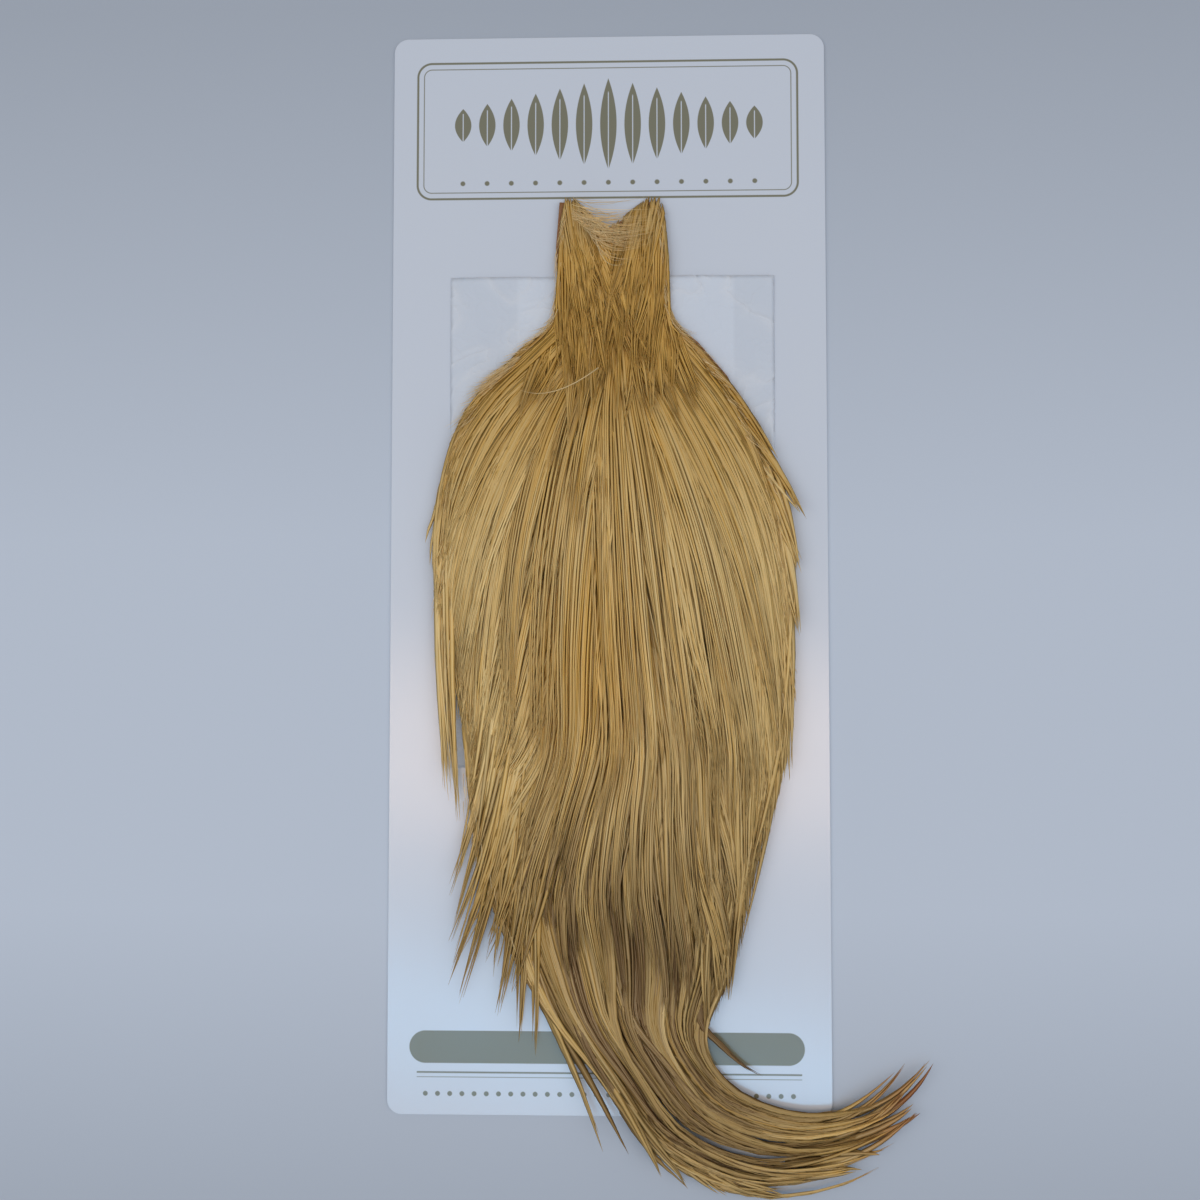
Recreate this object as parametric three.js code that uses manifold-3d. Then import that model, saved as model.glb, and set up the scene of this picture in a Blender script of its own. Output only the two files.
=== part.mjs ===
// Rooster cape on a display card: a dried neck skin with its hackle feathers, laid on a thin
// sheet of paper and stapled to a long white card. The feathers flow from the two ears at the
// head end, over the shoulders and down to a tail that curls past the card's lower edge.
// Millimetres. Origin at the centre of the card's back face, +X right, +Y head end, +Z up.
import * as THREE from "three";
import { mergeVertices } from "three/addons/utils/BufferGeometryUtils.js";
import Module from "manifold-3d";

const wasm = await Module();
wasm.setup();

// Card
const CARD_WIDTH = 152.4;
const CARD_LENGTH = 377;
const CARD_THICKNESS = 1;
const CARD_CORNER = 5;

// Paper sheet between the card and the skin
const SHEET_LEFT = -55.5;
const SHEET_RIGHT = 58;
const SHEET_TOP = 102;
const SHEET_BOTTOM = -70;
const SHEET_THICKNESS = 0.25;

// Levels: each layer lies a hair above the one that carries it, and the tail comes down
// towards the table past the card's lower edge
const LAYER_GAP = 0.3;
const SHEET_LEVEL = CARD_THICKNESS + LAYER_GAP;
const CAPE_LEVEL = SHEET_LEVEL + SHEET_THICKNESS + LAYER_GAP;
const TABLE_LEVEL = 0.4;
const CARD_END = -CARD_LENGTH / 2;
const DROP_START = CARD_END - 1.5;
const DROP_LENGTH = 14;

// Skin: its corners at the head end, then its edge down the right side and up the left
const SKIN_THICKNESS = 1;
const EAR_LEFT = [-14, 130.5];
const EAR_NOTCH = [2, 118];
const EAR_RIGHT = [18, 130.5];
const SKIN_RIGHT = [[19.5, 112], [22.5, 88], [36, 75], [47, 61], [50, 40], [46, 0], [34, -42]];
const SKIN_LEFT = [[-32, -44], [-45, 0], [-50, 40], [-43, 60], [-31, 72], [-19.5, 88], [-17.5, 112]];
const SKIN_FOOT = [2, -66];

// Ribs across the plumage from the ear tips to the tail tips. Each one runs from the left
// outline to the right outline: left x, left y, right x, right y, height of the feather pile.
const RIBS = [
  [-14, 130, 18, 130, 3],
  [-18, 112, 20, 112, 7],
  [-20, 88, 22.5, 88, 9],
  [-33, 73, 34, 73, 12],
  [-48, 57, 46, 57, 15],
  [-57, 36, 56, 35, 17],
  [-60, 5, 62, 8, 18],
  [-60, -30, 63, -26, 18],
  [-55, -64, 61, -62, 17],
  [-49, -90, 54, -88, 15],
  [-42, -115, 47, -113, 13],
  [-32, -137, 42, -137, 11],
  [-20, -155, 34, -156, 10],
  [-4, -174, 35, -168, 9],
  [15, -199, 46, -179, 7],
  [45, -212, 65, -185, 5],
  [74, -208, 84, -183.5, 3.5],
  [94, -197, 98, -178, 2.5],
  [107, -184, 109, -167, 1.6],
];
const LAST_RIB = RIBS.length - 1;

// Cross-section of the pile: its height at the outline, and how it rounds up to the middle
const EDGE_HEIGHT = 2.4;
const CROWN_POWER = 2;
const CROWN_ROUNDNESS = 0.75;

// Core of the pile, under the locks
const CORE_START = 0.8;
const CORE_END = 16.2;
const CORE_SIDE = 0.9;
const CORE_FILL = 0.68;
const CORE_RINGS = 22;
const CORE_SEGMENTS = 14;

// Locks in rows from the tail up, laid like shingles. Each row has the rib that its roots
// stand on, how many locks it has, how far they reach towards the outlines, their length and
// half width, and how far their tips drift outwards.
const LOCK_ROWS = [
  { rib: 12.2, count: 6, reach: 0.82, length: 96, halfWidth: 3.6, drift: 0.05 },
  { rib: 10.6, count: 7, reach: 0.86, length: 104, halfWidth: 4.6, drift: 0.05 },
  { rib: 8.8, count: 8, reach: 0.86, length: 100, halfWidth: 6, drift: 0.1 },
  { rib: 7, count: 9, reach: 0.88, length: 92, halfWidth: 6.4, drift: 0.14 },
  { rib: 5.4, count: 10, reach: 0.9, length: 84, halfWidth: 6.2, drift: 0.12 },
  { rib: 3.9, count: 9, reach: 0.9, length: 72, halfWidth: 5.8, drift: 0.13 },
  { rib: 2.4, count: 7, reach: 0.88, length: 56, halfWidth: 4.8, drift: 0.14 },
  { rib: 1.1, count: 5, reach: 0.86, length: 38, halfWidth: 3.8, drift: 0.02 },
  { rib: 0, count: 2, reach: 0.86, length: 30, halfWidth: 3, drift: -0.12 },
];
const STAGGER = 0.35;
const LENGTH_SPREAD = 0.1;

// Loose locks whose tips stand clear of the bundle: root rib, root side, tip x, tip y
const LOOSE_TIPS = [
  [5.4, -0.9, -52, -80],
  [7.6, -0.82, -52, -135],
  [8.1, -0.76, -49, -149],
  [8.6, -0.66, -42, -151],
  [9.3, -0.6, -29, -157],
  [10.2, -0.66, -22, -175],
  [11.6, -0.7, -1, -192],
  [12.2, -0.72, 14, -203],
  [4.9, 0.9, 67, -26],
  [8.7, 0.78, 43.5, -143],
  [9.7, 0.66, 35.5, -159],
];
const LOOSE_HALF_WIDTH = 2.8;
const LOOSE_REACH = 0.55;

// Section and taper of a lock along its length
const LOCK_RINGS = 8;
const LOCK_SIDES = 4;
const LOCK_RISE = 3.4;
const LOCK_DEPTH = 3;
const LOCK_LIFT = 0.25;
const ROOT_ROUNDING = 5;
const TIP_POWER = 2.2;
const TIP_ROUNDING = 0.8;
const RISE_POWER = 0.26;
const TRACE_STEPS = 48;
const STATION_STEP = 0.05;

// Staples: flat steel wire, crown over the skin, legs folded inwards under the card
const STAPLE_WIDTH = 12.7;
const STAPLE_WIRE = 0.5;
const STAPLE_WIRE_WIDTH = 0.7;
const STAPLE_LEG_FOLD = 3.4;
const STAPLE_CLEARANCE = 0.15;
const STAPLE_TOP = CAPE_LEVEL + SKIN_THICKNESS + STAPLE_WIRE;
const STAPLE_X = 1;
const STAPLE_NECK_Y = 106;
const STAPLE_LOWER_Y = -38;

// Colours and finishes
const CARD_COLOUR = 0xd6dce6;
const PAPER_COLOUR = 0xdde3ec;
const FEATHER_COLOUR = 0xb8935a;
const STEEL_COLOUR = 0xa7abb0;

const MERGE_TOLERANCE = 1e-4;
const SIMPLIFY_TOLERANCE = 0.02;

// Turns a geometry into a solid that can be joined and cut
function toSolid(geometry) {
  geometry.deleteAttribute("normal");
  geometry.deleteAttribute("uv");
  const merged = mergeVertices(geometry, MERGE_TOLERANCE);
  return new wasm.Manifold(new wasm.Mesh({
    numProp: 3,
    vertProperties: new Float32Array(merged.attributes.position.array),
    triVerts: new Uint32Array(merged.index.array),
  }));
}

// Turns a joined or cut solid back into a geometry
function toGeometry(solid) {
  const mesh = solid.getMesh();
  const geometry = new THREE.BufferGeometry();
  geometry.setAttribute("position", new THREE.BufferAttribute(mesh.vertProperties, 3));
  geometry.setIndex(new THREE.BufferAttribute(mesh.triVerts, 1));
  geometry.computeVertexNormals();
  return geometry;
}

// One outline of the plumage as a smooth curve; its third coordinate carries the pile height
function outline(column) {
  const points = RIBS.map((rib) => new THREE.Vector3(rib[column], rib[column + 1], rib[4]));
  return new THREE.CatmullRomCurve3(points, false, "catmullrom", 0.5);
}

const LEFT_OUTLINE = outline(0);
const RIGHT_OUTLINE = outline(2);

// Point of the plumage on a rib (0 at the ears), at a side from -1 on the left outline to 1 on
// the right one, with the height of the pile there
function plumage(rib, side) {
  const share = THREE.MathUtils.clamp(rib / LAST_RIB, 0, 1);
  const left = LEFT_OUTLINE.getPoint(share);
  const right = RIGHT_OUTLINE.getPoint(share);
  const point = left.lerp(right, (side + 1) / 2);
  const fullness = Math.max(0, 1 - Math.abs(side) ** CROWN_POWER) ** CROWN_ROUNDNESS;
  const edge = Math.min(EDGE_HEIGHT, point.z);
  return { x: point.x, y: point.y, height: edge + (point.z - edge) * fullness };
}

// Lowest level of the plumage: above the paper on the card, near the table past its edge
function restingLevel(y) {
  const drop = THREE.MathUtils.smoothstep(DROP_START - y, 0, DROP_LENGTH);
  return THREE.MathUtils.lerp(CAPE_LEVEL, TABLE_LEVEL, drop);
}

// Path with the flow of the feathers, from a root towards the tail
function flowPath({ rib, side, length, drift }) {
  const path = [];
  let station = rib;
  for (let i = 0; i <= TRACE_STEPS; i += 1) {
    const share = i / TRACE_STEPS;
    const here = plumage(station, side + drift * share * share);
    const ahead = plumage(station + STATION_STEP, side + drift * share * share);
    const stretch = Math.max(Math.hypot(ahead.x - here.x, ahead.y - here.y) / STATION_STEP, 1);
    station += length / TRACE_STEPS / stretch;
    path.push(here);
  }
  return path;
}

// Path of a loose lock: it leaves its root with the flow and bends out to a given tip
function loosePath([rib, side, tipX, tipY]) {
  const root = plumage(rib, side);
  const ahead = plumage(rib + STATION_STEP, side);
  const heading = new THREE.Vector3(ahead.x - root.x, ahead.y - root.y, 0).normalize();
  const start = new THREE.Vector3(root.x, root.y, root.height);
  const end = new THREE.Vector3(tipX, tipY, EDGE_HEIGHT);
  const reach = start.distanceTo(end) * LOOSE_REACH;
  const bend = start.clone().addScaledVector(heading, reach);
  const points = new THREE.QuadraticBezierCurve3(start, bend, end).getPoints(TRACE_STEPS);
  return points.map((point) => ({ x: point.x, y: point.y, height: point.z }));
}

// Where a corner of a lock's or the core's sphere lies along it, across it and up
function sphereCorner(position, i) {
  const along = Math.acos(THREE.MathUtils.clamp(position.getY(i), -1, 1)) / Math.PI;
  const girth = Math.max(Math.sin(along * Math.PI), 1e-6);
  return { along, across: position.getX(i) / girth, up: position.getZ(i) / girth };
}

// One lock: a slim pointed body with a ridge along its back, bent along its path
function lock(path, fullHalfWidth) {
  const geometry = new THREE.SphereGeometry(1, LOCK_SIDES, LOCK_RINGS);
  const position = geometry.attributes.position;
  for (let i = 0; i < position.count; i += 1) {
    const { along, across, up } = sphereCorner(position, i);
    const index = Math.min(Math.floor(along * TRACE_STEPS), TRACE_STEPS - 1);
    const before = path[index];
    const after = path[index + 1];
    const mix = along * TRACE_STEPS - index;
    const x = THREE.MathUtils.lerp(before.x, after.x, mix);
    const y = THREE.MathUtils.lerp(before.y, after.y, mix);
    const pile = THREE.MathUtils.lerp(before.height, after.height, mix);
    const heading = new THREE.Vector2(after.x - before.x, after.y - before.y).normalize();
    const rounding = 1 - (1 - along) ** ROOT_ROUNDING;
    const taper = rounding * Math.max(0, 1 - along ** TIP_POWER) ** TIP_ROUNDING;
    const halfWidth = fullHalfWidth * taper * across;
    const floor = restingLevel(y) + LOCK_LIFT;
    const centre = floor + Math.max(pile - LOCK_RISE, 0.4) * along ** RISE_POWER;
    const offset = up * taper * (up > 0 ? LOCK_RISE : LOCK_DEPTH);
    const z = Math.max(floor, centre + offset);
    position.setXYZ(i, x - heading.y * halfWidth, y + heading.x * halfWidth, z);
  }
  return toSolid(geometry);
}

// Core: a low pillow with a flat underside that follows the flow of the feathers
function core() {
  const geometry = new THREE.SphereGeometry(1, CORE_SEGMENTS, CORE_RINGS);
  const position = geometry.attributes.position;
  for (let i = 0; i < position.count; i += 1) {
    const { along, across, up } = sphereCorner(position, i);
    const closing = Math.min(1, Math.sqrt(6 * Math.sin(along * Math.PI)));
    const rib = THREE.MathUtils.lerp(CORE_START, CORE_END, along);
    const point = plumage(rib, CORE_SIDE * across * closing);
    const rise = CORE_FILL * point.height * THREE.MathUtils.clamp(up * 3, 0, 1) * closing;
    position.setXYZ(i, point.x, point.y, restingLevel(point.y) + rise);
  }
  return toSolid(geometry);
}

// Skin: a thin plate with two pointed ears
function skin() {
  const shape = new THREE.Shape();
  shape.moveTo(...EAR_LEFT);
  shape.lineTo(...EAR_NOTCH);
  shape.lineTo(...EAR_RIGHT);
  const edge = [...SKIN_RIGHT, SKIN_FOOT, ...SKIN_LEFT];
  shape.splineThru(edge.map(([x, y]) => new THREE.Vector2(x, y)));
  const options = { depth: SKIN_THICKNESS, bevelEnabled: false, curveSegments: 2 };
  return toSolid(new THREE.ExtrudeGeometry(shape, options).translate(0, 0, CAPE_LEVEL));
}

// All the locks: rows from the tail up, then the loose ones. Locks of a row are staggered
// against the next row's, and every other one is a little longer.
function allLocks() {
  const locks = [];
  LOCK_ROWS.forEach((row, rowIndex) => {
    for (let i = 0; i < row.count; i += 1) {
      const spread = row.count > 1 ? (2 * i) / (row.count - 1) - 1 : 0;
      const side = spread * row.reach;
      const odd = (i + rowIndex) % 2 ? 1 : -1;
      const path = flowPath({
        rib: row.rib + odd * STAGGER * (row.rib > STAGGER ? 1 : 0),
        side,
        length: row.length * (1 + odd * LENGTH_SPREAD),
        drift: row.drift * spread,
      });
      locks.push(lock(path, row.halfWidth));
    }
  });
  LOOSE_TIPS.forEach((tip) => locks.push(lock(loosePath(tip), LOOSE_HALF_WIDTH)));
  return locks;
}

// Side view of a staple, or of the space it needs when it is grown by a clearance
function stapleShape(clearance) {
  const half = STAPLE_WIDTH / 2 + clearance;
  const inner = STAPLE_WIDTH / 2 - STAPLE_WIRE - clearance;
  const foldEnd = STAPLE_WIDTH / 2 - STAPLE_LEG_FOLD - clearance;
  const top = STAPLE_TOP + clearance;
  const underCrown = STAPLE_TOP - STAPLE_WIRE - clearance;
  const overFold = STAPLE_WIRE + clearance;
  const bottom = -clearance;
  const corners = [
    [half, bottom], [half, top], [-half, top], [-half, bottom], [-foldEnd, bottom],
    [-foldEnd, overFold], [-inner, overFold], [-inner, underCrown], [inner, underCrown],
    [inner, overFold], [foldEnd, overFold], [foldEnd, bottom],
  ];
  return new THREE.Shape(corners.map(([x, z]) => new THREE.Vector2(x, z)));
}

// Staple, or the space it needs, standing at its place on the card
function staple(y, clearance) {
  const depth = STAPLE_WIRE_WIDTH + 2 * clearance;
  const geometry = new THREE.ExtrudeGeometry(stapleShape(clearance), { depth, bevelEnabled: false });
  geometry.rotateX(Math.PI / 2);
  geometry.translate(STAPLE_X, y + depth / 2, 0);
  return toSolid(geometry);
}

// Cuts the room for both staples out of a solid
function withStapleHoles(solid) {
  return solid
    .subtract(staple(STAPLE_NECK_Y, STAPLE_CLEARANCE))
    .subtract(staple(STAPLE_LOWER_Y, STAPLE_CLEARANCE));
}

// Card with rounded corners
function card() {
  const x = CARD_WIDTH / 2;
  const y = CARD_LENGTH / 2;
  const r = CARD_CORNER;
  const shape = new THREE.Shape();
  shape.absarc(x - r, y - r, r, 0, Math.PI / 2);
  shape.absarc(r - x, y - r, r, Math.PI / 2, Math.PI);
  shape.absarc(r - x, r - y, r, Math.PI, Math.PI * 1.5);
  shape.absarc(x - r, r - y, r, Math.PI * 1.5, Math.PI * 2);
  const options = { depth: CARD_THICKNESS, bevelEnabled: false, curveSegments: 4 };
  return withStapleHoles(toSolid(new THREE.ExtrudeGeometry(shape, options)));
}

// Paper sheet between card and skin
function backingSheet() {
  const width = SHEET_RIGHT - SHEET_LEFT;
  const length = SHEET_TOP - SHEET_BOTTOM;
  const geometry = new THREE.BoxGeometry(width, length, SHEET_THICKNESS);
  const x = (SHEET_LEFT + SHEET_RIGHT) / 2;
  const y = (SHEET_TOP + SHEET_BOTTOM) / 2;
  geometry.translate(x, y, SHEET_LEVEL + SHEET_THICKNESS / 2);
  return withStapleHoles(toSolid(geometry));
}

// Outer shell of a solid, which fills the pockets closed in between the locks
function outerShell(solid) {
  return solid.decompose().reduce((a, b) => (a.volume() > b.volume() ? a : b));
}

// Cape: the skin, the core of the pile and every lock, grown together in one piece
function cape() {
  const whole = allLocks().reduce((sum, next) => sum.add(next), skin().add(core()));
  return withStapleHoles(outerShell(whole)).simplify(SIMPLIFY_TOLERANCE);
}

// Adds one named piece to the object
function addPiece(group, name, solid, color, roughness, metalness) {
  const material = new THREE.MeshStandardMaterial({ color, roughness, metalness });
  const mesh = new THREE.Mesh(toGeometry(solid), material);
  mesh.name = name;
  group.add(mesh);
}

const group = new THREE.Group();
addPiece(group, "card", card(), CARD_COLOUR, 0.35, 0);
addPiece(group, "backing_sheet", backingSheet(), PAPER_COLOUR, 0.6, 0);
addPiece(group, "cape", cape(), FEATHER_COLOUR, 0.65, 0);
addPiece(group, "staple_neck", staple(STAPLE_NECK_Y, 0), STEEL_COLOUR, 0.35, 1);
addPiece(group, "staple_lower", staple(STAPLE_LOWER_Y, 0), STEEL_COLOUR, 0.35, 1);

export default group;
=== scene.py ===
import math

import bpy
import numpy as np
from mathutils import Matrix, Vector


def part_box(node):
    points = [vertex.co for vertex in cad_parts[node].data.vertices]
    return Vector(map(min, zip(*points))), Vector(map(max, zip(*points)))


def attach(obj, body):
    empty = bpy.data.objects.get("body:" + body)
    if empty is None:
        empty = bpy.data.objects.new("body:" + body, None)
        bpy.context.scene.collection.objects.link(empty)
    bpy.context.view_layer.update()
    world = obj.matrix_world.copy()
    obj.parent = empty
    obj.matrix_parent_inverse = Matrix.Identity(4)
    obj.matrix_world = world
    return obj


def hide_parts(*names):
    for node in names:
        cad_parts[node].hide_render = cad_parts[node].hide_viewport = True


bl_info = {
    "name": "Rooster Cape",
    "version": (1, 0, 0),
    "blender": (4, 5, 0),
    "location": "View3D > Sidebar > Cape",
    "description": "Builds a rooster cape on its display card, feather by feather",
    "category": "Object",
}

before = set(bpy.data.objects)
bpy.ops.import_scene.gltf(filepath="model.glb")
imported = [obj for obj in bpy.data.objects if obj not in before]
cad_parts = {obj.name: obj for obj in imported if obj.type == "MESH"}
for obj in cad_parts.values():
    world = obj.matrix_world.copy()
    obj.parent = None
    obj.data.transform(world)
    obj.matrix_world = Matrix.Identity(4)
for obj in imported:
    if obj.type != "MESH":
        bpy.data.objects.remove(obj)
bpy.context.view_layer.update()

# Shapes are worked out in millimetres and scaled when they become a mesh
MM = 0.001
CARD_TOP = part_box("card")[1].z / MM
CARD_LOWER_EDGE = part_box("card")[0].y / MM
SHEET_LOW = [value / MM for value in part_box("backing_sheet")[0]]
SHEET_HIGH = [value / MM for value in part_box("backing_sheet")[1]]

# Levels of the plumage, as in the solids: above the paper, and near the table past the card
CAPE_LEVEL = SHEET_HIGH[2] + 0.3
TABLE_LEVEL = 0.4
DROP_START = CARD_LOWER_EDGE - 1.5
DROP_LENGTH = 14

# Ribs across the plumage from the ear tips to the tail tips: left x, left y, right x, right y
# and the height of the feather pile
RIBS = np.array([
    [-14, 130, 18, 130, 3],
    [-18, 112, 20, 112, 7],
    [-20, 88, 22.5, 88, 9],
    [-33, 73, 34, 73, 12],
    [-48, 57, 46, 57, 15],
    [-57, 36, 56, 35, 17],
    [-60, 5, 62, 8, 18],
    [-60, -30, 63, -26, 18],
    [-55, -64, 61, -62, 17],
    [-49, -90, 54, -88, 15],
    [-42, -115, 47, -113, 13],
    [-32, -137, 42, -137, 11],
    [-20, -155, 34, -156, 10],
    [-4, -174, 35, -168, 9],
    [15, -199, 46, -179, 7],
    [45, -212, 65, -185, 5],
    [74, -208, 84, -183.5, 3.5],
    [94, -197, 98, -178, 2.5],
    [107, -184, 109, -167, 1.6],
], float)

# The upper layer hangs straighter: it shares the first ribs and then keeps to the left
MANTLE = np.vstack([RIBS[:7], [
    [-55.5, -31, 63, -26, 18],
    [-47.5, -62, 61, -62, 17.2],
    [-46, -88, 54, -88, 15.4],
    [-42, -110, 48, -113, 14],
    [-31, -127, 43, -137, 12.6],
    [-19, -144, 36, -155, 11.4],
    [-11, -160, 31, -166, 10],
]])
EDGE_HEIGHT = 2.4
CROWN_ROUNDNESS = 0.75
PILE_MARGIN = 3.2

# Feathers by layer, each layer a piece. A layer states the ribs that its roots stand on and
# its tips reach, how far a tip strays from its root's order and falls short on the left, the
# sides its roots lie between, how much of the parting's fan it takes, how far its feathers
# drift to the left and overhang the outline, locks, feathers a lock, half widths of a lock and
# how far they draw together, how far a lock meanders in millimetres and differs in tone, full
# widths of a feather in the middle and at the sides, the lowest share of the pile's height and
# the millimetres that locks lie over each other, how fast a feather climbs to its height (the
# lower, the sooner), segments along a feather and seed. The two veils are the long feathers
# on top
LAYER_BASE = dict(ribs=MANTLE, stray=0.6, left_short=0, sides=(-0.95, 0.95), fan=0.8,
                  left_drift=0, overhang=0.03, per_lock=10, spreads=(0.045, 0.085),
                  pulls=(0.35, 0.85), meander=0.9, contrast=0.06, widths=(1.5, 2.5),
                  lowest=0.7, stacks=(0, 0.5), climb=0.3, segments=14)
LAYERS = {
    "tail_feathers": dict(LAYER_BASE, ribs=RIBS, roots=(7, 8.8), tips=(13.6, 17.2), stray=1,
                          left_short=2, sides=(-0.8, 0.95), fan=0, left_drift=0.35,
                          locks=88, spreads=(0.07, 0.12), pulls=(0.75, 0.95), meander=2.4,
                          contrast=0.3, widths=(1.4, 1.9), lowest=0.5, stacks=(0, 2.2),
                          climb=0.33, segments=20, seed=15),
    "lower_feathers": dict(LAYER_BASE, roots=(5.8, 7.7), tips=(8.8, 12.4), left_short=1.2,
                           overhang=0.06, locks=115, meander=1.1, lowest=0.72, segments=15,
                           seed=14),
    "back_feathers": dict(LAYER_BASE, roots=(4, 6.3), tips=(6.6, 9.6), locks=135, seed=13),
    "shoulder_feathers": dict(LAYER_BASE, ribs=RIBS, roots=(2.1, 4.3), tips=(4.4, 7.2),
                              fan=0.25, locks=105, seed=12),
    "lower_veil": dict(LAYER_BASE, roots=(5, 7.9), tips=(9.4, 12.9), left_short=0.8, fan=1,
                       overhang=0.08, locks=150, per_lock=11, meander=1.4, widths=(1, 1.8),
                       lowest=0.94, stacks=(0, 1.9), climb=0.28, segments=16, seed=16),
    "upper_veil": dict(LAYER_BASE, roots=(1.2, 4.8), tips=(7, 10.2), locks=160, per_lock=11,
                       meander=1.2, widths=(1, 1.8), lowest=0.94, stacks=(0, 1.9),
                       climb=0.18, segments=16, seed=17),
}

# The parting that the feathers of the back fan out from, to the left and to the right
PARTING_SIDE = 0.07
PARTING_WIDTH = 0.25
PARTING_FANS = (1.6, 1.15)
DRIFT_POWER = 1.25

# The side that no lock's middle passes, the outermost feathers' side, the width of the band by
# the outline where locks hardly meander, and the locks that cross the others: their share and
# how far they drift
LAST_SIDE = 1
OUTER_SIDE = 0.95
CALM_BAND = 0.3
STRAY_SHARE = 0.16
STRAY_DRIFT = 0.3

# Seeds of the pieces that aren't layers
NECK_SEED = 11
LOOSE_SEED = 21
DOWN_SEED = 31

# Loose tufts whose tips stand clear of the bundle: root rib, root side, tip x, tip y, feathers.
# A tuft follows the others for half of LOOSE_LEAD, in millimetres, before it bends away. It has
# its own climb, millimetres over the pile and widths of its feathers
LOOSE_LEAD = 62
LOOSE_CLIMB = 0.8
LOOSE_ABOVE = (1.2, 2.4)
LOOSE_WIDTHS = (1.8, 3)
LOOSE_TUFTS = [
    (4.2, -0.98, -56, -78, 9),
    (4.6, -0.97, -54.8, -81, 8),
    (4.8, -0.95, -51.6, -88, 6),
    (6.4, -0.6, -54, -113.6, 8),
    (6.7, -0.6, -46.7, -105, 8),
    (6.8, -0.5, -53.7, -129, 9),
    (7.1, -0.5, -51.3, -133, 6),
    (6.6, -0.38, -54.6, -143.5, 10),
    (6.9, -0.42, -51, -150, 8),
    (6.8, -0.45, -46, -128, 10),
    (7.2, -0.42, -42, -136, 10),
    (7.2, -0.5, -39.2, -140.6, 8),
    (7.4, -0.45, -37.7, -154, 9),
    (7.6, -0.4, -33, -146, 10),
    (7.6, -0.5, -30.5, -162.5, 9),
    (8, -0.45, -24.7, -167.5, 8),
    (3, 0.95, 58, 36, 6),
    (3.5, 0.9, 67.8, 16.7, 12),
    (4, 0.93, 66.4, -2.9, 12),
    (4.5, 0.94, 65.8, -24.5, 12),
    (5.6, 0.94, 60, -60, 8),
    (6, 0.94, 62, -73.7, 8),
    (6.9, 0.92, 48, -108, 8),
    (7.6, 0.86, 42.8, -135.5, 10),
    (8.4, 0.8, 40.7, -148, 12),
    (8.6, 0.74, 37, -152, 8),
    (9, 0.7, 33.2, -160, 8),
    (15, 0.6, 100, -168.8, 3),
    (15.2, 0.7, 108.3, -167.7, 2),
    (15.6, 0.3, 109.5, -168.7, 2),
    (15.4, 0.2, 100, -177.8, 4),
    (15.8, 0, 102.7, -182, 3),
    (15.6, -0.2, 105, -185, 3),
    (14.8, -0.55, 104, -185, 4),
    (15.6, -0.4, 92, -198, 4),
    (15.2, -0.6, 85.4, -204.5, 5),
    (14.6, -0.75, 66.9, -208, 5),
    (14.2, -0.8, 59.4, -213, 6),
    (14, -0.75, 48.3, -212.5, 5),
    (13.6, -0.85, 40, -213, 6),
    (13, -0.88, 26.7, -211, 5),
    (12.6, -0.92, 18, -206.5, 4),
    (11.6, -0.95, 7, -199, 2),
    (11.2, -0.98, -1.7, -198, 1),
    (11, -0.98, -3, -192, 1),
]

# Neck: the edges of its feathers as y, left x and right x, the level of the ear tips, the
# notch between the ears with the slopes of its two sides, the level where the roots of its
# feathers end and the levels that their tips reach
NECK_EDGES = np.array([
    [130, -15.9, 19.4],
    [108, -17.3, 21],
    [84, -19, 21.9],
    [76, -25, 31],
    [56, -46, 50],
], float)
EAR_LEVEL = 129.8
NOTCH = (-0.7, 118.6)
NOTCH_SLOPES = (0.98, 0.75)
NECK_END = 78
NECK_LOCKS = 230
NECK_PER_LOCK = 8
NECK_TIP_LEVELS = (33, 64)

# Skin: its edges below the neck, as y, left x and right x, and its foot
SKIN_EDGES = np.array([
    [130, -17, 17.4],
    [112, -18.4, 18],
    [88, -17, 19],
    [78, -20, 31.4],
    [66, -31, 41.6],
    [55, -39, 46.6],
    [44, -44, 47],
    [0, -45, 46],
    [-44, -32, 34],
    [-70, -20, 22],
], float)
SKIN_FOOT = -66
SKIN_THICKNESS = 0.9

# Folds along the paper sheet, as their x
SHEET_FOLDS = (-32.5, 44)

# Loose barbs: how many sweep across the notch, the sets along the outline (how many, ribs,
# side, how far they stand out and their length), and the start, bend, end and half width of the
# long pale one
EAR_BARBS = 120
EDGE_BARBS = [
    (110, (0.1, 2.2), -1, 0.15, 7),
    (110, (0.1, 2.2), 1, 0.15, 7),
    (120, (2, 4.6), -1, 0.5, 9),
    (100, (3, 3.6), -1, 0.25, 17),
    (120, (2, 5.4), 1, 0.4, 9),
    (120, (4.6, 11), -1, 0.2, 8),
    (120, (5.4, 11), 1, 0.2, 8),
]
LONG_BARB = [(-3.0, 66.6, 16.4), (-19.0, 54.0, 18.2), (-30.0, 59.0, 17.2)]
LONG_BARB_HALF = 0.24


def colour_setting(name, description, default):
    """A setting that holds a colour."""
    return bpy.props.FloatVectorProperty(name=name, description=description, default=default,
                                         size=3, subtype="COLOR")


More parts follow.
